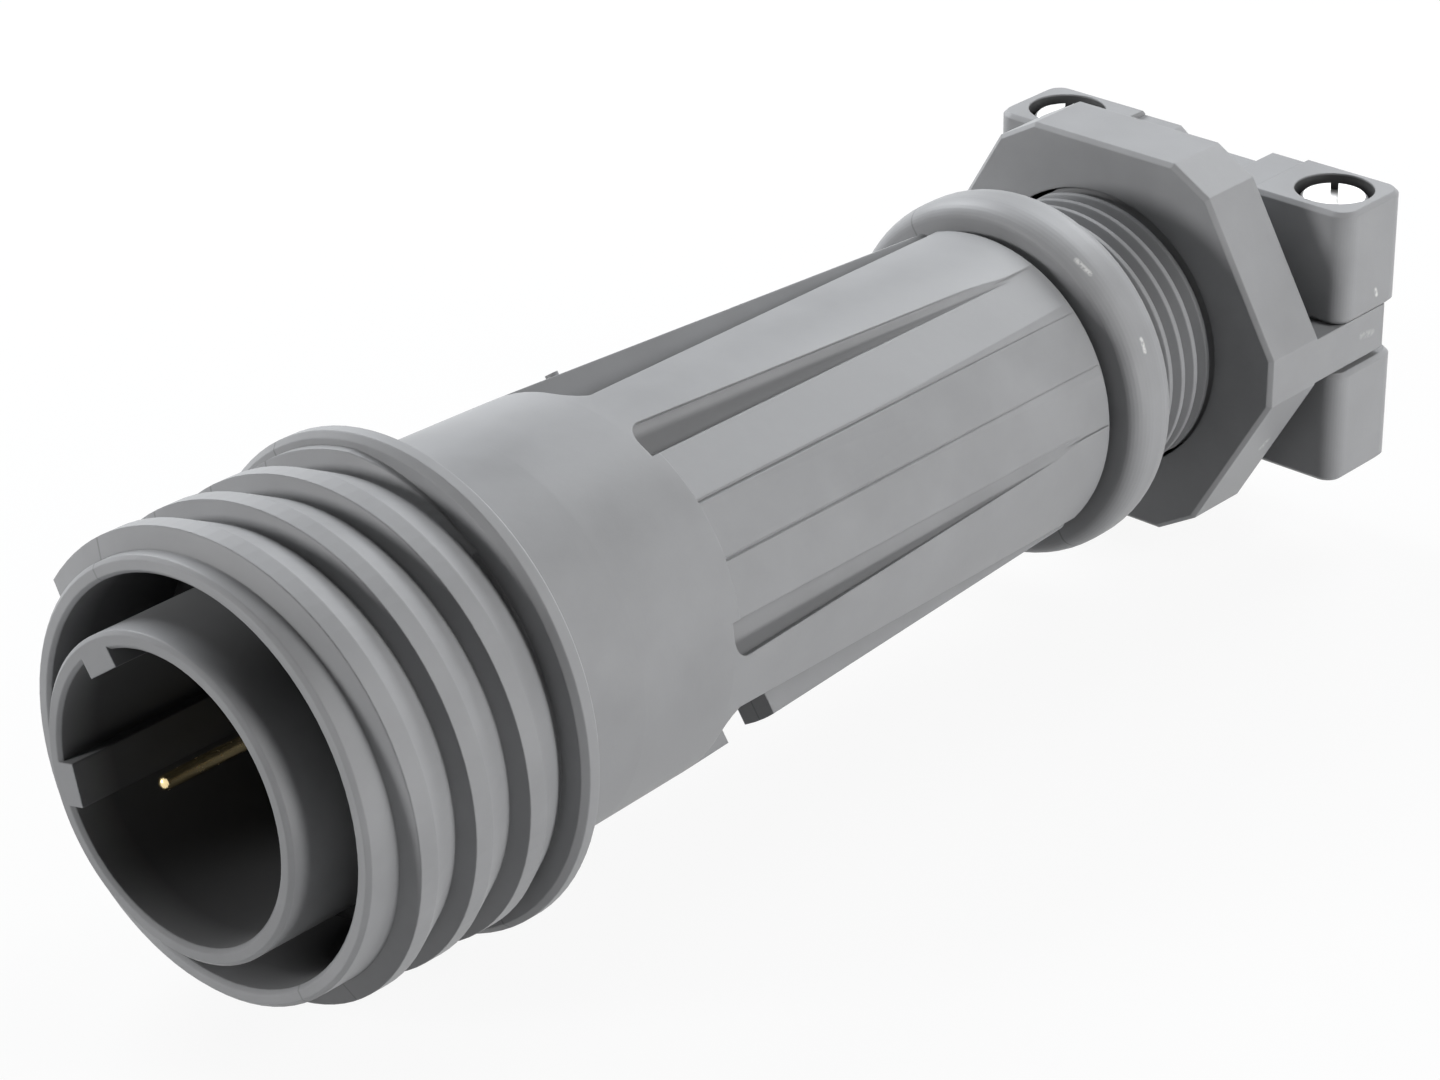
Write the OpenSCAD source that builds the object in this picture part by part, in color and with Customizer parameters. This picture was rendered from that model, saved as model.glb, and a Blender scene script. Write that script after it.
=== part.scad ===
// Circular cable connector, in-line: the axis runs along +X from the open front to the cable clamp.
// The origin lies on the axis in the plane of the outer shroud's front rim; +Z is up, sizes in mm.

/* [Mating face] */
// Inside diameter of the outer shroud
shroud_bore_d = 26.1; // [25.6:0.1:26.4]
// Depth of the ring-shaped gap between the shrouds
gap_depth = 10.5; // [9:0.5:11]
// Inside diameter of the inner shroud
socket_bore_d = 18.7; // [18.2:0.1:18.9]
// Outside diameter of the inner shroud
socket_d = 20.9; // [20.6:0.1:21.1]
// How far the inner shroud stands out of the outer one
socket_reach = 2.45; // [1.5:0.05:3]
// Width of the two keys in the inner shroud
key_w = 2.8; // [2.2:0.1:3.2]
// How far the keys stand in from the wall
key_h = 1.15; // [0.8:0.05:1.3]
// Diameter of the contact pins
pin_d = 1; // [0.8:0.1:1.2]
// Distance of the contact pins from the axis
pin_pitch_r = 5.1; // [4.6:0.1:5.4]

/* [Coupling thread] */
// Diameter over the thread's crests
thread_d = 31; // [30.6:0.1:31.4]
// Diameter at the thread's root
thread_root_d = 28.3; // [28.1:0.1:28.5]
// Advance of the thread in one turn
thread_pitch = 4.45; // [4.35:0.01:4.55]
// Turns of the thread
thread_turns = 3.25; // [2.8:0.05:3.3]

/* [Body] */
// Diameter of the flange behind the thread
flange_d = 32.6; // [32.2:0.1:33.2]
// Thickness of the flange
flange_w = 1.6; // [1.4:0.1:2.2]
// Diameter of the barrel behind the flange
barrel_d = 26.7; // [26.5:0.1:27.2]
// Length of the barrel from flange to grip
barrel_len = 15; // [13:0.5:17]
// Length of the grip
grip_len = 40.65; // [39:0.05:43]
// Diameter at the front end of the grip
grip_front_d = 26.25; // [26.1:0.05:26.4]
// Diameter at the rear end of the grip
grip_rear_d = 22.5; // [22.3:0.1:22.8]
// Distance of the grip's flats from the axis
flat_h = 10.67; // [10.5:0.01:10.8]
// Thickness of the rib on each flat
flat_rib_w = 3; // [2.4:0.1:3.4]
// Distance of the groove floors from the axis
groove_h = 8.9; // [8.7:0.1:9.2]
// Diameter over the rounded collar
collar_d = 25.9; // [25.4:0.1:26.3]
// Length of the rounded collar
collar_w = 4.4; // [4:0.05:4.8]

/* [Gland nut] */
// Width across the nut's flats
nut_af = 27.9; // [27.4:0.1:28.4]
// Width across the nut's cut corners
nut_cut = 30.18; // [29.8:0.02:30.4]
// Length of the nut's hexagon
nut_w = 5.7; // [5.5:0.1:6.2]
// Length of rear thread left bare between collar and nut
thread_show = 7.82; // [6.5:0.01:8]
// Bore of the rubber bush for the cable
bush_bore_d = 9.2; // [8:0.2:9.4]

/* [Cable clamp] */
// Length of the saddles along the axis
saddle_w = 7.25; // [7:0.05:7.5]
// Height of the upper saddle's top over the axis
saddle_top = 10.15; // [9.9:0.05:10.5]
// Diameter of the rounded bite for the cable
bite_d = 10; // [9.6:0.1:10.4]
// Thickness of the nut's ears
ear_t = 3.32; // [3:0.02:3.4]
// Distance between the two clamp screws
screw_span = 23.52; // [23.3:0.02:23.8]
// Shank diameter of the clamp screws
screw_d = 2.5; // [2.3:0.1:2.6]
// Head diameter of the clamp screws
head_d = 4.8; // [4.5:0.1:5]

/* [Hidden] */
$fn = 64;
fine_fn = 40;
cut = 1;

// Mating face
edge = 0.25;
shroud_r = shroud_bore_d / 2;
rim_r = thread_root_d / 2;
seat_play = 0.05;
carrier_r = shroud_r - seat_play;
carrier_rear = 14.15;
socket_floor = gap_depth + 0.5;
socket_in_r = socket_bore_d / 2;
socket_out_r = socket_d / 2;
key_angles = [-14.4, 54.8];
key_foot = 0.3;
pin_r = pin_d / 2;
pin_angle = -25.6;
pin_tip = 1.05;
pin_tip_len = 0.45;
pin_shank_r = pin_r + 0.3;
pin_collar_r = pin_shank_r + 0.3;
pin_collar_len = 1.5;
cup_r = 1.2;
cup_in_r = 0.85;
cup_len = 6.5;
cup_depth = 4.5;
seal_r = 1.05;
seal_play = 0.06;

// Coupling thread
thread_start_angle = 34;
thread_start_x = 0.55;
thread_front_w = 0.41;
thread_crest_w = 1.35;
thread_sink = 0.5;
thread_step = 0.06;
thread_steps = 96;
thread_fade = 11;
thread_fade_low = 0.12;
thread_count = round(thread_turns * thread_steps);
foot_r = rim_r + thread_step;
sunk_r = rim_r - thread_sink;
crest_h = thread_d / 2 - foot_r;
flange_x = 15.5;
thread_stop = flange_x + flange_w / 2;

// Body
flange_r = flange_d / 2;
flange_edge = 0.4;
flange_rear = flange_x + flange_w;
barrel_r = barrel_d / 2;
barrel_fillet = 0.6;
barrel_straight = 0.45;
grip_x = flange_rear + barrel_len;
grip_rear = grip_x + grip_len;
grip_r1 = grip_front_d / 2;
grip_r2 = grip_rear_d / 2;
grip_taper = atan((grip_r1 - grip_r2) / grip_len);
seam_w = 0.5;
seam_r = 10;
grip_round = 0.6;
grip_round_len = 0.8;
collar_r = collar_d / 2;
collar_x = grip_rear + seam_w;
collar_rear = collar_x + collar_w;
collar_round = 1.1;
collar_round_len = 1.7;
edge_steps = 8;
nut_x = collar_rear + thread_show;
spigot_r = 9.45;
spigot_end = nut_x + 1.85;
spigot_edge = 0.5;
chamber_r = 10.6;
chamber_rear = grip_x - 2;
passage_r = 8.6;
passage_x = chamber_rear + 5;
ledge_r = 6;
ledge_x = grip_rear + 1.2;
ledge_rear = ledge_x + 1.9;
mouth_r = 7.6;

// Grip
draw_angle = 145;
cuts_lead = 0.35;
cuts_x = grip_x + cuts_lead;
cuts_len = grip_len - cuts_lead;
flat_len = cuts_len + seam_w / 2;
line_v = 1.94;
line_w = 0.3;
line_depth = 0.3;
facet_v = 5.95;
facet_drop = 0.62;
facet_rise = 0.25;
facet_front_u = sqrt(grip_r1 * grip_r1 - line_v * line_v);
facet_edge_u = sqrt(grip_r1 * grip_r1 - facet_v * facet_v) - facet_drop;
groove_v = 7.88;
groove_end_v = 6.2;
groove_len = 37.3;
groove_round = 1.35;
groove_rise = 1.2;
flat_corner_v = 7.7;
flat_round = 2;
flat_reach = 14;
flat_rise = 0.22;
over_u = 17;
rib_notch_x = 4.2;
rib_notch_len = 4.5;
rib_notch_w = flat_rib_w + 1;
nub_x = 5.85;
nub_r = 0.45;
nub_proud = 0.25;
nub_root = 0.8;
corner_steps = 6;

// Gland
nut_rear = nut_x + nut_w;
nut_edge = 0.3;
nut_play_r = 10.32;
nut_bore_rear = nut_x + 4.93;
nut_step_r = 8;
boss_r = 9.4;
boss_len = 1.7;
boss_rear = nut_rear + boss_len;
boss_wall = 1;
nut_hole_r = 5.8;
ring_w = 1.2;
ring_play = 0.1;
ring_rear = boss_rear - boss_wall - ring_play;
ring_x = ring_rear - ring_w;
ring_r = nut_step_r - 0.2;
ring_in_r = 5.5;
bush_rear = ring_x - ring_play;
bush_len = 11.1;
bush_x = bush_rear - bush_len;
bush_r = mouth_r - 0.15;
bush_nose = 1.6;
bush_nose_r = 6.4;
bush_in_r = bush_bore_d / 2;

// Clamp
clamp_half = nut_cut / 2;
ear_in_y = 8.3;
ear_len = 7.95;
ear_root = 0.6;
saddle_x = boss_rear + 0.37;
saddle_mid = saddle_x + saddle_w / 2;
saddle_half = clamp_half + 0.35;
saddle_round = 1.4;
saddle_edge = 0.3;
step_y = 7.3;
step_drop = 0.4;
dip_y = 2.65;
dip_out_y = 4.05;
dip_drop = 1.4;
upper_gap = 0.1;
lower_gap = 0.38;
upper_z = ear_t / 2 + upper_gap;
lower_z = -(ear_t / 2 + lower_gap);
lower_bottom = -saddle_top - 0.25;
bite_r = bite_d / 2;
screw_x = saddle_x + 3.75;
screw_y = screw_span / 2;
screw_r = screw_d / 2;
hole_r = screw_r + 0.2;
head_r = head_d / 2;
head_h = 1.6;
head_sunk = 0.45;
head_top = saddle_top - head_sunk;
counterbore_r = head_r + 0.42;
counterbore_play = 0.05;
slot_w = 0.55;
slot_depth = 0.6;
slot_turn = 34;
screw_end = lower_bottom - 1.1;
screw_tip = 0.4;
nut2_af = 5;
nut2_h = 2;
nut2_play = 0.06;
nut2_sunk = 0.15;
nut2_bore = screw_r + 0.05;
hex_ratio = cos(30);
hex_fn = 6;
half_turn = 180;

// Turns an outline of radius and place along the axis about the X axis.
module revolve() {
    rotate([0, 90, 0])
        rotate_extrude()
            children();
}

// Runs an outline in the YZ plane along +X from a given place.
module along(x0, len) {
    translate([x0, 0, 0])
        rotate([90, 0, 90])
            linear_extrude(len)
                children();
}

// Round bar on the axis.
module bar(x0, x1, r) {
    translate([x0, 0, 0])
        rotate([0, 90, 0])
            cylinder(h = x1 - x0, r = r);
}

// Points of the thread's ridge, i steps after its start: its foot in front, both edges of its crest, its root.
function ridge_angle(i) = thread_start_angle + i * 360 / thread_steps;
function ridge_x(i, dx) = min(thread_start_x + i / thread_steps * thread_pitch + dx, thread_stop);
function ridge_point(i, dx, r) = [ridge_x(i, dx), r * cos(ridge_angle(i)), r * sin(ridge_angle(i))];
function ridge_height(i) = crest_h * min(1, max(thread_fade_low, (thread_count - i) / thread_fade));

// Coupling thread: one right-hand ridge, steep in front and gentle behind, blunt at its start.
module coupling_thread() {
    turn = thread_steps;
    count = thread_count;
    whole = floor(count / turn);
    rest = count % turn;
    crest = count + turn + 1;
    root = crest + 2 * (count + 1);
    tail = root + turn + 1;
    points = concat(
        [for (i = [0 : count + turn]) ridge_point(i, 0, foot_r)],
        [for (i = [0 : count]) each [
            ridge_point(i, thread_front_w, foot_r + ridge_height(i)),
            ridge_point(i, thread_front_w + thread_crest_w, foot_r + ridge_height(i))
        ]],
        [for (i = [0 : turn]) ridge_point(i, 0, sunk_r)],
        [for (i = [count : count + turn]) ridge_point(i, 0, sunk_r)]
    );
    ridge = [for (i = [0 : count - 1])
        let (c = crest + 2 * i, d = c + 2, n = i + turn)
            each [
                [i, c, d], [i, d, i + 1],
                [c, c + 1, d + 1], [c, d + 1, d],
                [c + 1, n, n + 1], [c + 1, n + 1, d + 1]
            ]
    ];
    front = [for (i = [0 : turn - 1])
        let (k = root + i)
            each [[k, i, i + 1], [k, i + 1, k + 1]]
    ];
    rear = [for (i = [0 : turn - 1])
        let (k = tail + i, n = count + i)
            each [[n, k, k + 1], [n, k + 1, n + 1]]
    ];
    inside = [for (i = [0 : turn - 1])
        let (k = tail - count + i + turn * (i < rest ? whole + 1 : whole))
            concat(
                [k],
                i == 0 ? [root + turn] : [],
                [root + i, root + i + 1],
                (i + 1) % turn == rest ? [tail] : [],
                [k + 1]
            )
    ];
    start = [root + turn, turn, crest + 1, crest, 0, root];
    end = [tail, count, crest + 2 * count, crest + 2 * count + 1, count + turn, tail + turn];
    polyhedron(points = points, faces = concat(ridge, front, rear, inside, [start], [end]));
}

// Points, radius first, that round a turned edge over a drop in radius and a length along the axis:
// side 1 rises behind a front face, side -1 falls to a rear face.
function round_edge(x, r, drop, len, side) = [
    for (i = [0 : edge_steps])
        let (a = 90 * (side > 0 ? i : edge_steps - i) / edge_steps)
            [r - drop * (1 - sin(a)), x + side * len * (1 - cos(a))]
];

// Outside of the body, still solid: shroud, flange, barrel, grip cone, collar and rear spigot.
module body_solid() {
    revolve()
        polygon([
            [0, 0],
            [rim_r - edge, 0],
            [rim_r, edge],
            [rim_r, flange_x],
            [flange_r - flange_edge, flange_x],
            [flange_r, flange_x + flange_edge],
            [flange_r, flange_rear - flange_edge],
            [flange_r - flange_edge, flange_rear],
            [barrel_r + barrel_fillet, flange_rear],
            [barrel_r, flange_rear + barrel_fillet],
            [barrel_r, flange_rear + barrel_len * barrel_straight],
            [grip_r1, grip_x],
            each round_edge(grip_rear, grip_r2, grip_round, grip_round_len, -1),
            [seam_r, grip_rear],
            [seam_r, collar_x],
            each round_edge(collar_x, collar_r, collar_round, collar_round_len, 1),
            each round_edge(collar_rear, collar_r, collar_round, collar_round_len, -1),
            [spigot_r, collar_rear],
            [spigot_r, spigot_end - spigot_edge],
            [spigot_r - spigot_edge, spigot_end],
            [0, spigot_end]
        ]);
}

// Hollow of the body from the open front through the wiring chamber to the rear mouth.
module body_hollow() {
    revolve()
        polygon([
            [0, -cut],
            [shroud_r + edge, -cut],
            [shroud_r + edge, 0],
            [shroud_r, edge],
            [shroud_r, carrier_rear + seat_play],
            [chamber_r, carrier_rear + seat_play],
            [chamber_r, chamber_rear],
            [passage_r, passage_x],
            [passage_r, ledge_x],
            [ledge_r, ledge_x],
            [ledge_r, ledge_rear],
            [mouth_r, ledge_rear],
            [mouth_r, spigot_end + cut],
            [0, spigot_end + cut]
        ]);
}

// Facets of one half of the grip, with the thin lines that part them.
module grip_facets() {
    translate([cuts_x, 0, 0])
        rotate([0, 0, facet_rise - grip_taper])
            along(0, cuts_len)
                polygon([
                    [facet_edge_u, -facet_v],
                    [facet_front_u - line_w / 2, -line_v - line_w / 2],
                    [facet_front_u - line_depth, -line_v],
                    [facet_front_u, -line_v + line_w / 2],
                    [facet_front_u, line_v - line_w / 2],
                    [facet_front_u - line_depth, line_v],
                    [facet_front_u - line_w / 2, line_v + line_w / 2],
                    [facet_edge_u, facet_v],
                    [over_u, facet_v],
                    [over_u, -facet_v]
                ]);
}

// Outline, seen along the draw, cut down to a floor at the given distance from the axis.
module plan_cut(floor_u) {
    translate([0, floor_u, 0])
        rotate([-90, 0, 0])
            linear_extrude(over_u - floor_u)
                children();
}

// Quarter turn of points that rounds a front corner.
function corner(x, v, r) = [
    for (i = [0 : corner_steps])
        let (a = 90 * i / corner_steps)
            [x + r * (1 - cos(a)), v - r * (1 - sin(a))]
];

// Tapered groove beside the facets; it narrows and runs out to the rear.
module grip_groove() {
    translate([cuts_x, 0, 0])
        rotate([0, 0, groove_rise])
            plan_cut(groove_h)
                polygon(concat(
                    [[0, facet_v - line_w]],
                    corner(0, groove_v, groove_round),
                    [[groove_len, groove_end_v], [groove_len, facet_v - line_w]]
                ));
}

// Cut down to the grip's flats, which rise a little to the rear and run out there.
module flat_cut() {
    translate([cuts_x, 0, 0])
        rotate([0, 0, flat_rise])
            plan_cut(flat_h)
                children();
}

// Flat at one side of the grip's rib.
module grip_flat() {
    flat_cut()
        polygon(concat(
            [[0, flat_rib_w / 2]],
            corner(0, flat_corner_v, flat_round),
            [
                [flat_round, flat_reach],
                [flat_len, flat_reach],
                [flat_len, flat_rib_w / 2]
            ]
        ));
}

module both_sides() {
    children();
    mirror([0, 0, 1])
        children();
}

module grip_cuts() {
    for (a = [draw_angle, draw_angle + half_turn])
        rotate([a, 0, 0]) {
            grip_facets();
            both_sides()
                grip_groove();
        }
    for (a = [draw_angle - 90, draw_angle + 90])
        rotate([a, 0, 0])
            both_sides()
                grip_flat();
    rotate([draw_angle + 90, 0, 0])
        flat_cut()
            translate([rib_notch_x, -rib_notch_w / 2])
                square([rib_notch_len, rib_notch_w]);
}

// Small round moulding mark on the upper rib.
module rib_nub() {
    top = grip_r1 - nub_x * tan(grip_taper) + nub_proud;
    rotate([draw_angle - 90, 0, 0])
        translate([grip_x + nub_x, top - nub_root, 0])
            rotate([-90, 0, 0])
                cylinder(h = nub_root, r = nub_r, $fn = fine_fn);
}

// Body: one moulding from the threaded outer shroud to the rear spigot.
module main_body() {
    color([0.55, 0.56, 0.57]) {
        difference() {
            body_solid();
            body_hollow();
            grip_cuts();
        }
        rib_nub();
        coupling_thread();
    }
}

// Contact carrier: inner shroud with keys, closed by the floor that holds the pins.
module contact_carrier() {
    color([0.5, 0.51, 0.52])
        difference() {
            union() {
                revolve()
                    polygon([
                        [0, socket_floor],
                        [socket_in_r, socket_floor],
                        [socket_in_r, edge - socket_reach],
                        [socket_in_r + edge, -socket_reach],
                        [socket_out_r - edge, -socket_reach],
                        [socket_out_r, edge - socket_reach],
                        [socket_out_r, gap_depth],
                        [carrier_r, gap_depth],
                        [carrier_r, carrier_rear],
                        [0, carrier_rear]
                    ]);
                for (a = key_angles)
                    rotate([a, 0, 0])
                        translate([-socket_reach, socket_in_r - key_h, -key_w / 2])
                            cube([socket_floor + socket_reach + key_foot, key_h + key_foot, key_w]);
            }
            for (a = [pin_angle, pin_angle + half_turn])
                rotate([a, 0, 0])
                    translate([0, pin_pitch_r, 0]) {
                        bar(socket_floor - cut, carrier_rear + cut, pin_shank_r + seat_play);
                        bar(carrier_rear - pin_collar_len, carrier_rear + cut, pin_collar_r + seat_play);
                    }
        }
}

// Contact pin: rounded tip, shank and collar seated in the carrier's floor, solder cup behind.
module contact_pin() {
    translate([0, pin_pitch_r, 0])
        difference() {
            revolve()
                polygon([
                    [0, pin_tip],
                    each round_edge(pin_tip, pin_r, pin_tip_len, pin_tip_len, 1),
                    [pin_r, socket_floor],
                    [pin_shank_r, socket_floor],
                    [pin_shank_r, carrier_rear - pin_collar_len + seat_play],
                    [pin_collar_r, carrier_rear - pin_collar_len + seat_play],
                    [pin_collar_r, carrier_rear + seat_play],
                    [cup_r, carrier_rear + seat_play],
                    [cup_r, carrier_rear + cup_len],
                    [0, carrier_rear + cup_len]
                ]);
            bar(carrier_rear + cup_len - cup_depth, carrier_rear + cup_len + cut, cup_in_r);
        }
}

module contact_pin_a() {
    color([0.85, 0.65, 0.25])
        rotate([pin_angle, 0, 0])
            contact_pin();
}

module contact_pin_b() {
    color([0.85, 0.65, 0.25])
        rotate([pin_angle + half_turn, 0, 0])
            contact_pin();
}

// Seal ring at the foot of the gap between the shrouds.
module interface_seal() {
    color([0.08, 0.08, 0.08])
        revolve()
            translate([socket_out_r + seal_play + seal_r, gap_depth - seal_play - seal_r])
                circle(seal_r, $fn = fine_fn);
}

// Rubber bush that closes on the cable when the nut is turned in.
module gland_bush() {
    color([0.1, 0.1, 0.1])
        revolve()
            polygon([
                [bush_in_r, bush_x],
                [bush_nose_r, bush_x],
                [bush_r, bush_x + bush_nose],
                [bush_r, bush_rear],
                [bush_in_r, bush_rear]
            ]);
}

// Ring that lets the nut turn without twisting the bush.
module thrust_ring() {
    color([0.3, 0.3, 0.31])
        revolve()
            translate([ring_in_r, ring_x])
                square([ring_r - ring_in_r, ring_w]);
}

// Hexagon with its corners cut flat.
module nut_outline(inset) {
    intersection() {
        circle((nut_af / 2 - inset) / hex_ratio, $fn = hex_fn);
        rotate(half_turn / hex_fn)
            circle((nut_cut / 2 - inset) / hex_ratio, $fn = hex_fn);
    }
}

// Gland nut with the two ears that carry the clamp.
module gland_nut() {
    color([0.53, 0.54, 0.55])
        difference() {
            union() {
                hull() {
                    along(nut_x, nut_w)
                        nut_outline(nut_edge);
                    along(nut_x + nut_edge, nut_w - 2 * nut_edge)
                        nut_outline(0);
                }
                bar(nut_rear - nut_edge, boss_rear, boss_r);
                for (s = [-1, 1])
                    translate([nut_rear - ear_root, s * (ear_in_y + clamp_half) / 2, 0])
                        translate([0, -(clamp_half - ear_in_y) / 2, -ear_t / 2])
                            cube([ear_len + ear_root, clamp_half - ear_in_y, ear_t]);
            }
            bar(nut_x - cut, nut_bore_rear, nut_play_r);
            bar(nut_bore_rear - cut, boss_rear - boss_wall, nut_step_r);
            bar(boss_rear - boss_wall - cut, boss_rear + cut, nut_hole_r);
            for (s = [-1, 1])
                translate([screw_x, s * screw_y, -ear_t])
                    cylinder(h = 2 * ear_t, r = hole_r, $fn = fine_fn);
        }
}

// Saddle block with rounded upright corners and eased edges, from z0 up to z1.
module saddle_block(z0, z1) {
    reach_x = saddle_w / 2 - saddle_round;
    reach_y = saddle_half - saddle_round;
    hull()
        for (sx = [-1, 1])
            for (sy = [-1, 1])
                translate([saddle_mid + sx * reach_x, sy * reach_y, z0]) {
                    cylinder(h = z1 - z0, r = saddle_round - saddle_edge, $fn = fine_fn);
                    translate([0, 0, saddle_edge])
                        cylinder(h = z1 - z0 - 2 * saddle_edge, r = saddle_round, $fn = fine_fn);
                }
}

// Step and dip across the outside of a saddle between its two screws, cut down from height z.
module saddle_dip(z) {
    along(saddle_x - cut, saddle_w + 2 * cut)
        polygon([
            [-step_y, z + cut],
            [-step_y, z - step_drop],
            [-dip_out_y, z - step_drop],
            [-dip_y, z - dip_drop],
            [dip_y, z - dip_drop],
            [dip_out_y, z - step_drop],
            [step_y, z - step_drop],
            [step_y, z + cut]
        ]);
}

// Cable bite and screw holes common to both saddles.
module saddle_cuts() {
    bar(saddle_x - cut, saddle_x + saddle_w + cut, bite_r);
    for (s = [-1, 1])
        translate([screw_x, s * screw_y, lower_bottom - cut])
            cylinder(h = saddle_top - lower_bottom + 2 * cut, r = hole_r, $fn = fine_fn);
}

module upper_saddle() {
    color([0.54, 0.55, 0.56])
        difference() {
            saddle_block(upper_z, saddle_top);
            saddle_dip(saddle_top);
            saddle_cuts();
            for (s = [-1, 1])
                translate([screw_x, s * screw_y, head_top - head_h - counterbore_play])
                    cylinder(h = head_h + head_sunk + cut, r = counterbore_r, $fn = fine_fn);
        }
}

module lower_saddle() {
    color([0.54, 0.55, 0.56])
        difference() {
            saddle_block(lower_bottom, lower_z);
            mirror([0, 0, 1])
                saddle_dip(-lower_bottom);
            saddle_cuts();
            for (s = [-1, 1])
                translate([screw_x, s * screw_y, lower_bottom - cut])
                    cylinder(h = cut + nut2_sunk + nut2_h + nut2_play, r = nut2_af / 2 / hex_ratio + nut2_play,
                        $fn = hex_fn);
        }
}

// Clamp screw with a slotted round head, upright through ear and saddles.
module clamp_screw(side) {
    translate([screw_x, side * screw_y, 0])
        difference() {
            rotate_extrude($fn = fine_fn)
                polygon([
                    [0, screw_end],
                    [screw_r - screw_tip, screw_end],
                    [screw_r, screw_end + screw_tip],
                    [screw_r, head_top - head_h],
                    [head_r, head_top - head_h],
                    [head_r, head_top - edge],
                    [head_r - edge, head_top],
                    [0, head_top]
                ]);
            rotate([0, 0, slot_turn])
                translate([-head_r - cut, -slot_w / 2, head_top - slot_depth])
                    cube([2 * (head_r + cut), slot_w, slot_depth + cut]);
        }
}

module clamp_screw_near() {
    color([0.8, 0.8, 0.78])
        clamp_screw(-1);
}

module clamp_screw_far() {
    color([0.8, 0.8, 0.78])
        clamp_screw(1);
}

// Small hexagon nut held in the underside of the lower saddle.
module saddle_nut(side) {
    translate([screw_x, side * screw_y, lower_bottom + nut2_sunk])
        difference() {
            cylinder(h = nut2_h, r = nut2_af / 2 / hex_ratio, $fn = hex_fn);
            translate([0, 0, -cut])
                cylinder(h = nut2_h + 2 * cut, r = nut2_bore, $fn = fine_fn);
        }
}

module saddle_nut_near() {
    color([0.75, 0.75, 0.73])
        saddle_nut(-1);
}

module saddle_nut_far() {
    color([0.75, 0.75, 0.73])
        saddle_nut(1);
}

main_body();
contact_carrier();
contact_pin_a();
contact_pin_b();
interface_seal();
gland_bush();
thrust_ring();
gland_nut();
upper_saddle();
lower_saddle();
clamp_screw_near();
clamp_screw_far();
saddle_nut_near();
saddle_nut_far();
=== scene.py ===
"""Dresses the in-line circular connector: finishes for its mouldings, contacts, rubber and screws, the fine
rear thread, and the studio it lies in. All sizes are in metres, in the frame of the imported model."""

import math
from collections import namedtuple

import bmesh
import bpy
from bpy.props import FloatProperty, FloatVectorProperty, IntProperty, PointerProperty
from bpy.types import Operator, Panel, PropertyGroup
from mathutils import Matrix, Vector


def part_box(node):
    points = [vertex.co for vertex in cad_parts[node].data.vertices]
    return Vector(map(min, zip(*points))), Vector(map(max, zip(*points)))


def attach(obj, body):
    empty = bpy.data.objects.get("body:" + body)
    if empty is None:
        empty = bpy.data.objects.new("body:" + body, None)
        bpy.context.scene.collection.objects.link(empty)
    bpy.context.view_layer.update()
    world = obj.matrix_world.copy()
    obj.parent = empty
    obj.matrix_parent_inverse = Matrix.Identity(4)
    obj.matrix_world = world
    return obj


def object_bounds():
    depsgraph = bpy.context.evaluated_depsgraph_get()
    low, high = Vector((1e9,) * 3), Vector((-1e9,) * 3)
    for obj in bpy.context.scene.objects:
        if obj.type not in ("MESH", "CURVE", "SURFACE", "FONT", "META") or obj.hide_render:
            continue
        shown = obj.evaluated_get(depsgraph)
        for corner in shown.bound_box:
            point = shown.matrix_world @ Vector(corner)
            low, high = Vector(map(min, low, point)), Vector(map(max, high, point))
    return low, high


bl_info = {
    "name": "Circular connector dressing",
    "version": (1, 0, 0),
    "blender": (4, 5, 0),
    "location": "View3D > Sidebar > Connector",
    "description": "Finishes, fine rear thread and studio of an in-line circular connector",
    "category": "Object",
}

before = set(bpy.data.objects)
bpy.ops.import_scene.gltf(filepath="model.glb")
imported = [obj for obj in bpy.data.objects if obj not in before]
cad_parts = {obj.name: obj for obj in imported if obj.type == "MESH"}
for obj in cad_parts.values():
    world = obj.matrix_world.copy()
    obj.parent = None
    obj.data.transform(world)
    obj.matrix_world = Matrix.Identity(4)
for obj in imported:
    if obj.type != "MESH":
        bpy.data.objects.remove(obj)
CAD_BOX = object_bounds()
BODY_LOW, BODY_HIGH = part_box("main_body")
CARRIER_LOW, CARRIER_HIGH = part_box("contact_carrier")
SADDLE_LOW, SADDLE_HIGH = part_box("upper_saddle")
MM = 0.001
CENTRE = Vector((0.0, 0.0, 0.0))
X_AXIS, Z_AXIS = Vector((1.0, 0.0, 0.0)), Vector((0.0, 0.0, 1.0))
WHITE, COOL = (1.0, 1.0, 1.0), (0.95, 0.975, 1.0)

# A bore whose wall is drawn darker with painted shade, as shade falls in it: its centre and axis, its radius,
# the places of its mouth and its foot along the axis, the depth over which the painted shade sets in, and its
# tone as a share of the moulding's
Bore = namedtuple("Bore", "centre axis radius mouth foot fade share")
# Radii just over those of the shroud's bore, the socket and the screws' wells, and the depths over which
# their painted shade sets in
GAP_RADIUS, SOCKET_RADIUS, WELL_RADIUS = 13.2 * MM, 9.4 * MM, 2.9 * MM
FRONT_FADE, WELL_FADE = 3 * MM, 0.15 * MM
# Widths over which a bore's painted-shade mask ends at its wall and beyond its foot
WALL_BLEND, FOOT_BLEND = 0.05 * MM, 1 * MM
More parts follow.
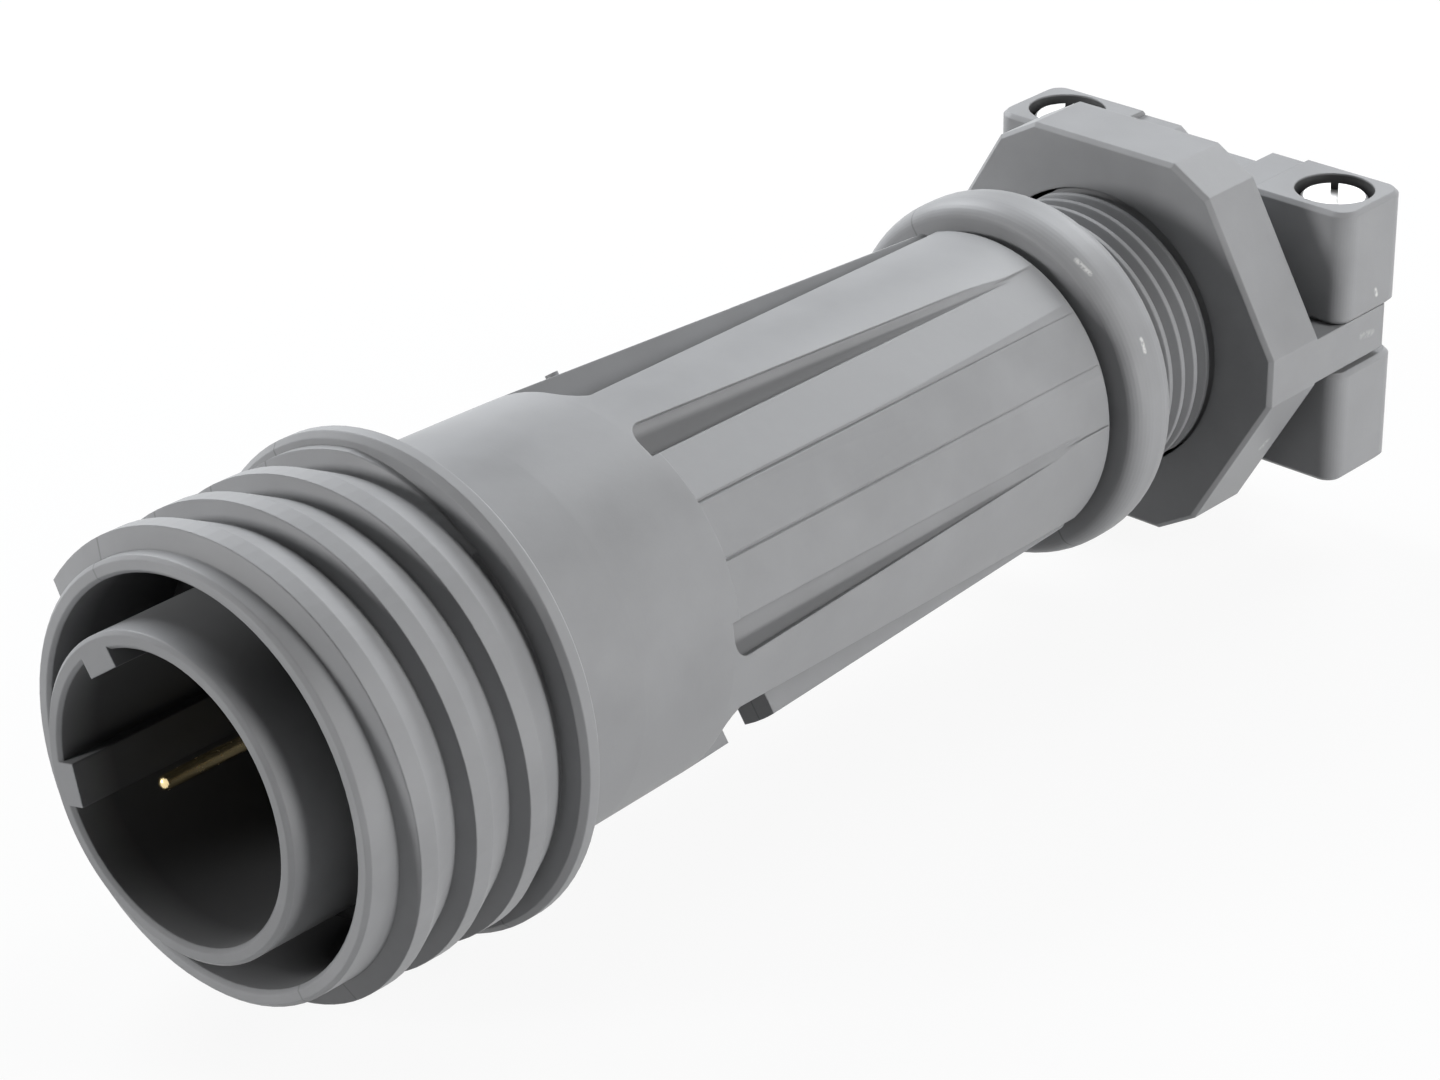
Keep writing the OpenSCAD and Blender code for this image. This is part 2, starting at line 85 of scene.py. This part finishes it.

# A small pale streak painted into the colour: its start and end on the surface, its radius, and how plain it
# is
PaleStreak = namedtuple("PaleStreak", "start end radius strength")
PALE_STREAK_TONE = (0.55, 0.55, 0.54)
BODY_PALE_STREAKS = (
    PaleStreak(Vector((74.0, -6.75, 10.8)) * MM, Vector((74.1, -7.85, 10.1)) * MM, 0.24 * MM, 0.9),
    PaleStreak(Vector((75.2, -11.47, 5.97)) * MM, Vector((75.15, -11.85, 5.2)) * MM, 0.22 * MM, 1.0),
)
GLAND_PALE_STREAKS = (
    PaleStreak(Vector((97.3, -15.44, 3.4)) * MM, Vector((97.5, -15.44, 2.95)) * MM, 0.22 * MM, 1.0),
    PaleStreak(Vector((89.2, -12.1, -6.9)) * MM, Vector((89.35, -12.4, -6.4)) * MM, 0.4 * MM, 0.6),
    PaleStreak(Vector((96.45, -15.09, 0.05)) * MM, Vector((97.8, -15.09, -0.13)) * MM, 0.35 * MM, 0.3),
)

# How far the rear thread's two ends lie from the spigot's end, and a place and angle of one of its crests
THREAD_FOOT, THREAD_LEAD = 8.9 * MM, 0.55 * MM
CREST_X, CREST_ANGLE = 80.5 * MM, math.radians(140)
# Half widths of the ridge's foot and crest as shares of the pitch, and how deep its foot sinks in
HALF_FOOT, HALF_CREST, FOOT_SINK = 0.46, 0.13, 0.06 * MM

# Half width, tone and share of plain white of the floor
FLOOR_HALF, FLOOR_TONE, FLOOR_WHITE = 1.2, 0.6, 0.92
# A round soft light: its name, place, width in metres, power in watts and colour
Softbox = namedtuple("Softbox", "name at width power colour")
SOFTBOXES = (
    Softbox("side_light", (0.152, -0.407, 0.0), 0.1, 1.25, WHITE),
    Softbox("key_light", (0.198, -0.317, 0.233), 0.16, 0.72, WHITE),
    Softbox("back_light", (0.114, 0.326, 0.257), 0.22, 2.0, COOL),
    Softbox("rear_light", (0.384, 0.042, 0.251), 0.2, 1.1, COOL),
    Softbox("front_light", (-0.327, 0.151, 0.106), 0.08, 1.0, WHITE),
)
LIT_PLACE = Vector((0.05, 0.0, 0.0))


def colour_setting(name, description, default):
    return FloatVectorProperty(
        name=name, description=description, subtype="COLOR", size=3, min=0.0, max=1.0, default=default)


def share_setting(name, description, default):
    return FloatProperty(
        name=name, description=description, subtype="FACTOR", min=0.0, max=1.0, default=default)


def length_setting(name, description, low, high, default):
    return FloatProperty(
        name=name, description=description, subtype="DISTANCE", unit="LENGTH", min=low, max=high,
        default=default)


def angle_setting(name, description, degrees):
    return FloatProperty(
        name=name, description=description, subtype="ANGLE", unit="ROTATION", default=math.radians(degrees))


class MouldingFinish(PropertyGroup):
    """Colours and surface of the grey mouldings."""

    body: colour_setting("Body grey", "Colour of the body moulding", (0.264, 0.266, 0.272))
    # Partly painted shade: the carrier's grey is set darker than the body's own grey, to stand in for the
    # shade inside the socket
    carrier: colour_setting("Carrier grey", "Colour of the contact carrier", (0.215, 0.217, 0.222))
    gland: colour_setting("Gland grey", "Colour of the gland nut and the saddles", (0.264, 0.266, 0.272))
    roughness: share_setting("Roughness", "Mean roughness of the satin mouldings", 0.46)
    grain: length_setting("Grain", "Size of the fine mould grain", 0.00005, 0.002, 0.00022)
    edge: length_setting("Edge", "Radius to which moulded edges are eased", 0.0, 0.001, 0.00018)
    # Painted shade: the shroud's bore and the socket are drawn darker by this share, as shade falls deep in
    # them
    recess: share_setting("Recess", "Tone of unlit recesses as a share of the lit surface", 0.4)
    # Painted shade: the screws' wells in the upper saddle are drawn far darker, as shade falls round the
    # heads
    well: share_setting("Well", "Tone of the screws' wells as a share of the saddle's surface", 0.15)
    parting_angle: angle_setting("Parting angle", "Angle of the mould's parting plane about the axis", 55)
    parting_width: length_setting("Parting width", "Half width of the parting line", 0.0, 0.001, 0.00009)


class FittingFinish(PropertyGroup):
    """Colours of the contacts, the clamp's screws and the rubber."""

    gold: colour_setting("Contact gold", "Colour of the plated contacts", (0.92, 0.74, 0.4))
    steel: colour_setting("Screw steel", "Colour of the plated screws and nuts", (0.96, 0.96, 0.945))
    rubber: colour_setting("Rubber", "Colour of the seal ring and the bush", (0.018, 0.018, 0.019))


class RearThread(PropertyGroup):
    """Sizes of the fine thread on the rear spigot."""

    pitch: length_setting("Pitch", "Advance in one turn", 0.0005, 0.003, 0.001411)
    crest_radius: length_setting("Crest radius", "Radius over the crests", 0.009, 0.0103, 0.0102)
    root_radius: length_setting("Root radius", "Radius of the spigot under the ridge", 0.009, 0.0102, 0.00945)
    relief: length_setting(
        "Relief", "Distance of the flats that cut the ridge at the parting plane", 0.009, 0.0103, 0.00995)
    steps: IntProperty(name="Steps", description="Steps in one turn", min=24, max=160, default=96)


class StudioSettings(PropertyGroup):
    """Camera and light."""

    camera_at: FloatVectorProperty(
        name="Camera", description="Place of the camera", subtype="TRANSLATION", unit="LENGTH", size=3,
        default=(-0.14671, -0.17238, 0.12933))
    heading: angle_setting("Heading", "Direction the camera looks in, from +X towards +Y", 41.883)
    pitch: angle_setting("Pitch", "How far the camera looks down", 26.877)
    roll: angle_setting("Roll", "Turn of the camera about its line of sight", 0.461)
    lens: FloatProperty(
        name="Lens", description="Focal length on a sensor 36 mm wide", subtype="DISTANCE_CAMERA",
        unit="CAMERA", min=20, max=300, default=111.477)
    ambient: FloatProperty(
        name="Ambient", description="Strength of the even light from all round",
        min=0.0, max=2.0, default=0.03)


class Wiring:
    """A shader tree being wired; each helper adds nodes and gives the socket that carries their result."""

    def __init__(self, tree):
        self.nodes, self.links = tree.nodes, tree.links
        self.nodes.clear()

    def feed(self, socket, value):
        """Links a socket to another one, or sets it to a constant."""
        if isinstance(value, bpy.types.NodeSocket):
            self.links.new(value, socket)
        else:
            socket.default_value = value

    def math(self, operation, *values):
        node = self.nodes.new("ShaderNodeMath")
        node.operation = operation
        for socket, value in zip(node.inputs, values):
            self.feed(socket, value)
        return node.outputs["Value"]

    def vector_math(self, operation, *values):
        node = self.nodes.new("ShaderNodeVectorMath")
        node.operation = operation
        for socket, value in zip(node.inputs, values):
            self.feed(socket, value)
        return node.outputs["Value" if operation in {"DOT_PRODUCT", "DISTANCE", "LENGTH"} else "Vector"]

    def object_coords(self):
        return self.nodes.new("ShaderNodeTexCoord").outputs["Object"]

    def noise(self, coords, scale, detail, roughness=0.5):
        texture = self.nodes.new("ShaderNodeTexNoise")
        texture.inputs["Scale"].default_value = scale
        texture.inputs["Detail"].default_value = detail
        texture.inputs["Roughness"].default_value = roughness
        self.feed(texture.inputs["Vector"], coords)
        return texture.outputs["Fac"]

    def spread(self, value, low, high, start=0.3, end=0.7):
        """Goes from low to high as a value goes from start to end, and stays there outside that range."""
        ranger = self.nodes.new("ShaderNodeMapRange")
        ranger.inputs["From Min"].default_value = start
        ranger.inputs["From Max"].default_value = end
        ranger.inputs["To Min"].default_value = low
        ranger.inputs["To Max"].default_value = high
        self.feed(ranger.inputs["Value"], value)
        return ranger.outputs["Result"]

    def mix(self, factor, first, second):
        """Mixes two colours, each three numbers or a socket."""
        node = self.nodes.new("ShaderNodeMix")
        node.data_type = "RGBA"
        self.feed(node.inputs["Factor"], factor)
        for name, colour in (("A", first), ("B", second)):
            linked = isinstance(colour, bpy.types.NodeSocket)
            self.feed(node.inputs[name], colour if linked else (*colour, 1.0))
        return node.outputs["Result"]

    def bump(self, shader, height, strength, distance, edge=0.0):
        """Feeds a height through a bump, over edges eased by the given radius, into the shader's normal."""
        bump = self.nodes.new("ShaderNodeBump")
        bump.inputs["Strength"].default_value = strength
        bump.inputs["Distance"].default_value = distance
        self.feed(bump.inputs["Height"], height)
        if edge > 0.0:
            bevel = self.nodes.new("ShaderNodeBevel")
            bevel.samples = 6
            bevel.inputs["Radius"].default_value = edge
            self.feed(bump.inputs["Normal"], bevel.outputs["Normal"])
        self.feed(shader.inputs["Normal"], bump.outputs["Normal"])

    def parting_line(self, coords, angle, half_width):
        """Mask, 1 on the mould's parting plane through the axis and 0 away from it."""
        across = (0.0, -math.sin(angle), math.cos(angle))
        away = self.math("ABSOLUTE", self.vector_math("DOT_PRODUCT", coords, across))
        return self.spread(away, 1.0, 0.0, half_width * 0.5, half_width)

    def bore_shade_mask(self, coords, bore):
        """Mask of painted shade, 1 inside a bore from just within its mouth to its foot, and 0 elsewhere."""
        local = self.vector_math("SUBTRACT", coords, bore.centre)
        along = self.vector_math("DOT_PRODUCT", local, bore.axis)
        across = self.vector_math("MULTIPLY", local, Vector((1.0, 1.0, 1.0)) - bore.axis)
        reach = self.vector_math("LENGTH", across)
        inwards = math.copysign(1.0, bore.foot - bore.mouth)
        mask = self.spread(along, 0.0, 1.0, bore.mouth, bore.mouth + inwards * bore.fade)
        before = self.spread(along, 1.0, 0.0, bore.foot, bore.foot + inwards * FOOT_BLEND)
        within = self.spread(reach, 1.0, 0.0, bore.radius, bore.radius + WALL_BLEND)
        for share in (before, within):
            mask = self.math("MULTIPLY", mask, share)
        return mask

    def pale_streak_mask(self, coords, pale_streaks):
        """Mask, up to 1 along broken-edged pale streaks and 0 elsewhere."""
        mask = 0.0
        for pale_streak in pale_streaks:
            run = pale_streak.end - pale_streak.start
            local = self.vector_math("SUBTRACT", coords, pale_streak.start)
            along = self.vector_math("DOT_PRODUCT", local, run / run.length_squared)
            nearest = self.vector_math("MULTIPLY", run, self.spread(along, 0.0, 1.0, 0.0, 1.0))
            away = self.vector_math("DISTANCE", local, nearest)
            near = self.spread(away, pale_streak.strength, 0.0, pale_streak.radius * 0.3, pale_streak.radius)
            mask = self.math("MAXIMUM", mask, near)
        grit = self.spread(self.noise(coords, scale=4200.0, detail=3.0), 0.25, 1.0, 0.4, 0.55)
        return self.math("MULTIPLY", mask, grit)


def new_finish(name):
    """New material with a Principled surface; returns the material, its wiring and the shader."""
    material = bpy.data.materials.new(name)
    material.use_nodes = True
    wiring = Wiring(material.node_tree)
    output = wiring.nodes.new("ShaderNodeOutputMaterial")
    shader = wiring.nodes.new("ShaderNodeBsdfPrincipled")
    wiring.feed(output.inputs["Surface"], shader.outputs["BSDF"])
    return material, wiring, shader


def shade(colour, share):
    return tuple(min(1.0, c * share) for c in colour)


def moulded_grey(name, colour, finish, parting=False, shaded_bores=(), pale_streaks=()):
    """Satin moulding: faint flow mottling, fine grain, eased edges, painted shade in each bore and small pale
    streaks.
    """
    material, wiring, shader = new_finish(name)
    coords = wiring.object_coords()
    mottle = wiring.noise(coords, scale=210.0, detail=4.0, roughness=0.55)
    grain = wiring.noise(coords, scale=1.0 / finish.grain, detail=3.0, roughness=0.6)
    tone = wiring.mix(wiring.spread(mottle, 0.0, 1.0), shade(colour, 0.94), shade(colour, 1.05))
    if parting:
        line = wiring.parting_line(coords, finish.parting_angle, finish.parting_width)
        tone = wiring.mix(line, tone, shade(colour, 0.72))
    # Painted shade: each bore's wall is drawn darker towards its depth
    for bore in shaded_bores:
        tone = wiring.mix(wiring.bore_shade_mask(coords, bore), tone, shade(colour, bore.share))
    # Small pale streaks are mixed into the colour
    if pale_streaks:
        tone = wiring.mix(wiring.pale_streak_mask(coords, pale_streaks), tone, PALE_STREAK_TONE)
    roughness = wiring.spread(mottle, finish.roughness - 0.05, finish.roughness + 0.06)
    wiring.feed(shader.inputs["Base Color"], tone)
    wiring.feed(shader.inputs["Roughness"], roughness)
    wiring.feed(shader.inputs["Specular IOR Level"], 0.2)
    wiring.bump(shader, grain, strength=0.12, distance=0.00003, edge=finish.edge)
    return material


def clouded(name, colour, cloud, tones, roughness, bump, metallic=0.0):
    """Surface whose tone, roughness and height all follow one noise, each within its own range."""
    material, wiring, shader = new_finish(name)
    clouds = wiring.noise(wiring.object_coords(), **cloud)
    tone = wiring.mix(clouds, *(shade(colour, share) for share in tones))
    wiring.feed(shader.inputs["Base Color"], tone)
    wiring.feed(shader.inputs["Roughness"], wiring.spread(clouds, *roughness))
    wiring.feed(shader.inputs["Metallic"], metallic)
    wiring.bump(shader, clouds, **bump)
    return material


def gold_plate(name, colour):
    """Bright gold plating with fine turning marks."""
    return clouded(
        name, colour, cloud={"scale": 2600.0, "detail": 2.0}, tones=(0.9, 1.08), roughness=(0.16, 0.28),
        bump={"strength": 0.05, "distance": 0.00001}, metallic=1.0)


def plated_steel(name, colour):
    """Bright zinc plating: slightly clouded, with eased edges."""
    return clouded(
        name, colour, cloud={"scale": 900.0, "detail": 5.0, "roughness": 0.6}, tones=(0.86, 1.1),
        roughness=(0.3, 0.45), bump={"strength": 0.08, "distance": 0.00002, "edge": 0.0001}, metallic=1.0)


def soft_rubber(name, colour):
    """Matt black rubber with a dusty bloom."""
    return clouded(
        name, colour, cloud={"scale": 700.0, "detail": 5.0, "roughness": 0.65}, tones=(0.8, 1.7),
        roughness=(0.7, 0.88), bump={"strength": 0.15, "distance": 0.00004})


def paint(material, *nodes):
    """Gives the CAD nodes one material."""
    for name in nodes:
        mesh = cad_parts[name].data
        mesh.materials.clear()
        mesh.materials.append(material)


def in_order(shape):
    """Puts edges and faces in an order set by their corners, because spins and cuts vary it each run."""
    shape.verts.index_update()
    count = len(shape.verts)

    def place(element):
        corners = [v.index for v in element.verts]
        return min(corners) * count ** 2 + max(corners) * count + sum(corners)

    shape.edges.sort(key=place)
    shape.faces.sort(key=place)


def keep(name, shape, body, material):
    """Turns a bmesh into a piece that rides on a body and takes the given finish."""
    mesh = bpy.data.meshes.new(name)
    shape.to_mesh(mesh)
    shape.free()
    mesh.materials.append(material)
    piece = bpy.data.objects.new(name, mesh)
    bpy.context.scene.collection.objects.link(piece)
    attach(piece, body)
    return piece


class CONNECTOR_OT_mouldings(Operator):
    """Finish the body, contact carrier, gland nut, saddles and thrust ring"""

    bl_idname = "connector.mouldings"
    bl_label = "Finish mouldings"

    def execute(self, context):
        finish = context.scene.connector_mouldings
        # Painted shade: the shroud's bore and the socket darken towards their depth, where shade falls
        gap = Bore(CENTRE, X_AXIS, GAP_RADIUS, BODY_LOW.x, CARRIER_HIGH.x, FRONT_FADE, finish.recess)
        paint(moulded_grey("body_grey", finish.body, finish, True, [gap], BODY_PALE_STREAKS), "main_body")
        socket = Bore(CENTRE, X_AXIS, SOCKET_RADIUS, CARRIER_LOW.x, CARRIER_HIGH.x, FRONT_FADE, finish.recess)
        # The carrier's darker grey is partly painted shade for the socket's inside
        paint(moulded_grey("carrier_grey", finish.carrier, finish, shaded_bores=[socket]), "contact_carrier")
        # Painted shade: the wells round the screws' heads are drawn far darker
        wells = [self.well(screw, finish.well) for screw in ("clamp_screw_near", "clamp_screw_far")]
        saddle = moulded_grey("saddle_grey", finish.gland, finish, shaded_bores=wells, pale_streaks=GLAND_PALE_STREAKS)
        paint(saddle, "upper_saddle")
        gland = moulded_grey("gland_grey", finish.gland, finish, pale_streaks=GLAND_PALE_STREAKS)
        paint(gland, "gland_nut", "lower_saddle")
        paint(moulded_grey("ring_grey", shade(finish.carrier, 0.6), finish), "thrust_ring")
        return {"FINISHED"}

    def well(self, screw, share):
        """Bore in the upper saddle round the head of a screw, whose wall takes painted shade."""
        middle = sum(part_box(screw), Vector()) / 2
        axis_at = Vector((middle.x, middle.y, 0.0))
        return Bore(axis_at, Z_AXIS, WELL_RADIUS, SADDLE_HIGH.z, SADDLE_LOW.z, WELL_FADE, share)


class CONNECTOR_OT_contacts(Operator):
    """Finish the two gold contacts"""

    bl_idname = "connector.contacts"
    bl_label = "Finish contacts"

    def execute(self, context):
        gold = gold_plate("contact_gold", context.scene.connector_fittings.gold)
        paint(gold, "contact_pin_a", "contact_pin_b")
        return {"FINISHED"}


class CONNECTOR_OT_rubber(Operator):
    """Finish the seal ring and the gland's bush"""

    bl_idname = "connector.rubber"
    bl_label = "Finish rubber"

    def execute(self, context):
        rubber = soft_rubber("seal_rubber", context.scene.connector_fittings.rubber)
        paint(rubber, "interface_seal", "gland_bush")
        return {"FINISHED"}


class CONNECTOR_OT_fasteners(Operator):
    """Finish the clamp's screws and their nuts"""

    bl_idname = "connector.fasteners"
    bl_label = "Finish fasteners"

    def execute(self, context):
        steel = plated_steel("screw_steel", context.scene.connector_fittings.steel)
        paint(steel, "clamp_screw_near", "clamp_screw_far", "saddle_nut_near", "saddle_nut_far")
        return {"FINISHED"}


class CONNECTOR_OT_rear_thread(Operator):
    """Cut the fine thread on the rear spigot as one spun ridge, relieved at the parting plane"""

    bl_idname = "connector.rear_thread"
    bl_label = "Make rear thread"

    def execute(self, context):
        thread = context.scene.connector_rear_thread
        finish = context.scene.connector_mouldings
        shape = self.ridge(thread)
        for turn in (finish.parting_angle, finish.parting_angle + math.pi):
            away = Vector((0.0, math.cos(turn), math.sin(turn)))
            cut = bmesh.ops.bisect_plane(
                shape, geom=shape.verts[:] + shape.edges[:] + shape.faces[:], dist=1e-7,
                plane_co=away * thread.relief, plane_no=away, clear_outer=True)
            rim = [e for e in cut["geom_cut"] if isinstance(e, bmesh.types.BMEdge)]
            bmesh.ops.holes_fill(shape, edges=rim, sides=0)
            in_order(shape)
        bmesh.ops.recalc_face_normals(shape, faces=shape.faces[:])
        grey = moulded_grey("thread_grey", finish.body, finish)
        keep("rear_thread", shape, "body", grey)
        return {"FINISHED"}

    def ridge(self, thread):
        """Bmesh of the whole ridge: its cross-section spun along the spigot."""
        start_x, end_x = BODY_HIGH.x - THREAD_FOOT, BODY_HIGH.x - THREAD_LEAD
        start_angle = CREST_ANGLE - (CREST_X - start_x) / thread.pitch * math.tau
        half_foot, half_crest = thread.pitch * HALF_FOOT, thread.pitch * HALF_CREST
        outline = (
            (-half_foot, thread.root_radius - FOOT_SINK),
            (-half_crest, thread.crest_radius),
            (half_crest, thread.crest_radius),
            (half_foot, thread.root_radius - FOOT_SINK),
        )
        shape = bmesh.new()
        outwards = Vector((0.0, math.cos(start_angle), math.sin(start_angle)))
        corners = [shape.verts.new(Vector((start_x + dx, 0.0, 0.0)) + outwards * r) for dx, r in outline]
        shape.faces.new(corners)
        steps = round((end_x - start_x) / thread.pitch * thread.steps)
        bmesh.ops.spin(
            shape, geom=shape.verts[:] + shape.edges[:] + shape.faces[:], cent=(0, 0, 0), axis=(1, 0, 0),
            dvec=(thread.pitch / thread.steps, 0, 0), angle=math.tau * steps / thread.steps, steps=steps,
            use_merge=False, use_duplicate=False)
        in_order(shape)
        return shape


class CONNECTOR_OT_stage(Operator):
    """Set the floor, soft lights, white surround and camera"""

    bl_idname = "connector.stage"
    bl_label = "Set stage"

    def execute(self, context):
        studio = context.scene.connector_studio
        self.floor(CAD_BOX[0].z)
        self.surround(context.scene, studio.ambient)
        for softbox in SOFTBOXES:
            self.light(softbox)
        self.camera(context.scene, studio)
        context.scene.view_settings.view_transform = "Standard"
        return {"FINISHED"}

    def floor(self, height):
        shape = bmesh.new()
        bmesh.ops.create_grid(shape, x_segments=1, y_segments=1, size=FLOOR_HALF)
        bmesh.ops.translate(shape, vec=(0.0, 0.0, height), verts=shape.verts[:])
        mesh = bpy.data.meshes.new("floor")
        shape.to_mesh(mesh)
        shape.free()
        material, wiring, shader = new_finish("floor_white")
        shader.inputs["Base Color"].default_value = (FLOOR_TONE, FLOOR_TONE, FLOOR_TONE, 1.0)
        shader.inputs["Roughness"].default_value = 0.9
        shader.inputs["Specular IOR Level"].default_value = 0.1
        glow = wiring.nodes.new("ShaderNodeEmission")
        glow.inputs["Color"].default_value = (*WHITE, 1.0)
        mix = wiring.nodes.new("ShaderNodeMixShader")
        seen = (self.seen_share(wiring, FLOOR_WHITE), shader.outputs["BSDF"], glow.outputs["Emission"])
        for socket, value in zip(mix.inputs, seen):
            wiring.feed(socket, value)
        output = next(n for n in wiring.nodes if n.type == "OUTPUT_MATERIAL")
        wiring.feed(output.inputs["Surface"], mix.outputs["Shader"])
        mesh.materials.append(material)
        floor = bpy.data.objects.new("floor", mesh)
        bpy.context.scene.collection.objects.link(floor)

    def seen_share(self, wiring, share):
        """Factor that is share for rays from the camera, mirrors and clear matter, and 0 for light."""
        path = wiring.nodes.new("ShaderNodeLightPath")
        seen = path.outputs["Is Camera Ray"]
        for name in ("Is Glossy Ray", "Is Transmission Ray"):
            seen = wiring.math("MAXIMUM", seen, path.outputs[name])
        return wiring.math("MULTIPLY", seen, share)

    def surround(self, scene, ambient):
        """World that is white where it is seen and gives an even, faint light."""
        world = bpy.data.worlds.new("surround")
        scene.world = world
        world.use_nodes = True
        wiring = Wiring(world.node_tree)
        output = wiring.nodes.new("ShaderNodeOutputWorld")
        mix = wiring.nodes.new("ShaderNodeMixShader")
        wiring.feed(mix.inputs[0], self.seen_share(wiring, 1.0))
        for socket, strength in zip(mix.inputs[1:], (ambient, 1.0)):
            background = wiring.nodes.new("ShaderNodeBackground")
            background.inputs["Color"].default_value = (*WHITE, 1.0)
            background.inputs["Strength"].default_value = strength
            wiring.feed(socket, background.outputs["Background"])
        wiring.feed(output.inputs["Surface"], mix.outputs["Shader"])

    def light(self, softbox):
        lamp = bpy.data.lights.new(softbox.name, "AREA")
        lamp.shape = "DISK"
        lamp.size = softbox.width
        lamp.energy = softbox.power
        lamp.color = softbox.colour
        light = bpy.data.objects.new(softbox.name, lamp)
        light.location = softbox.at
        light.rotation_euler = (LIT_PLACE - light.location).to_track_quat("-Z", "Y").to_euler()
        bpy.context.scene.collection.objects.link(light)

    def camera(self, scene, studio):
        heading, pitch, roll = studio.heading, studio.pitch, studio.roll
        level = math.cos(pitch)
        forward = Vector((level * math.cos(heading), level * math.sin(heading), -math.sin(pitch)))
        sideways = Vector((math.sin(heading), -math.cos(heading), 0.0))
        right = sideways * math.cos(roll) + forward.cross(sideways) * math.sin(roll)
        up = right.cross(forward)
        turn = Matrix((right, up, -forward)).transposed()
        data = bpy.data.cameras.new("camera")
        data.sensor_fit = "HORIZONTAL"
        data.sensor_width = 36.0
        data.lens = studio.lens
        data.clip_start, data.clip_end = 0.01, 10.0
        camera = bpy.data.objects.new("camera", data)
        camera.matrix_world = Matrix.Translation(Vector(studio.camera_at)) @ turn.to_4x4()
        scene.collection.objects.link(camera)
        scene.camera = camera


class CONNECTOR_PT_panel(Panel):
    """Buttons for every piece of the connector"""

    bl_idname = "CONNECTOR_PT_panel"
    bl_label = "Connector"
    bl_space_type = "VIEW_3D"
    bl_region_type = "UI"
    bl_category = "Connector"

    def draw(self, context):
        column = self.layout.column(align=True)
        for operator in OPERATORS:
            column.operator(operator.bl_idname)
        for group in GROUPS:
            settings = getattr(context.scene, group)
            box = self.layout.box()
            for name in settings.bl_rna.properties.keys():
                if name not in {"rna_type", "name"}:
                    box.prop(settings, name)


GROUPS = {
    "connector_mouldings": MouldingFinish,
    "connector_fittings": FittingFinish,
    "connector_rear_thread": RearThread,
    "connector_studio": StudioSettings,
}
OPERATORS = (
    CONNECTOR_OT_mouldings,
    CONNECTOR_OT_contacts,
    CONNECTOR_OT_rubber,
    CONNECTOR_OT_fasteners,
    CONNECTOR_OT_rear_thread,
    CONNECTOR_OT_stage,
)
CLASSES = (*GROUPS.values(), *OPERATORS, CONNECTOR_PT_panel)


def register():
    for cls in CLASSES:
        bpy.utils.register_class(cls)
    for name, group in GROUPS.items():
        setattr(bpy.types.Scene, name, PointerProperty(type=group))


def unregister():
    for name in GROUPS:
        delattr(bpy.types.Scene, name)
    for cls in reversed(CLASSES):
        bpy.utils.unregister_class(cls)


def main():
    register()
    bpy.ops.connector.mouldings()
    bpy.ops.connector.contacts()
    bpy.ops.connector.rubber()
    bpy.ops.connector.fasteners()
    bpy.ops.connector.rear_thread()
    bpy.ops.connector.stage()


if __name__ == "__main__":
    main()
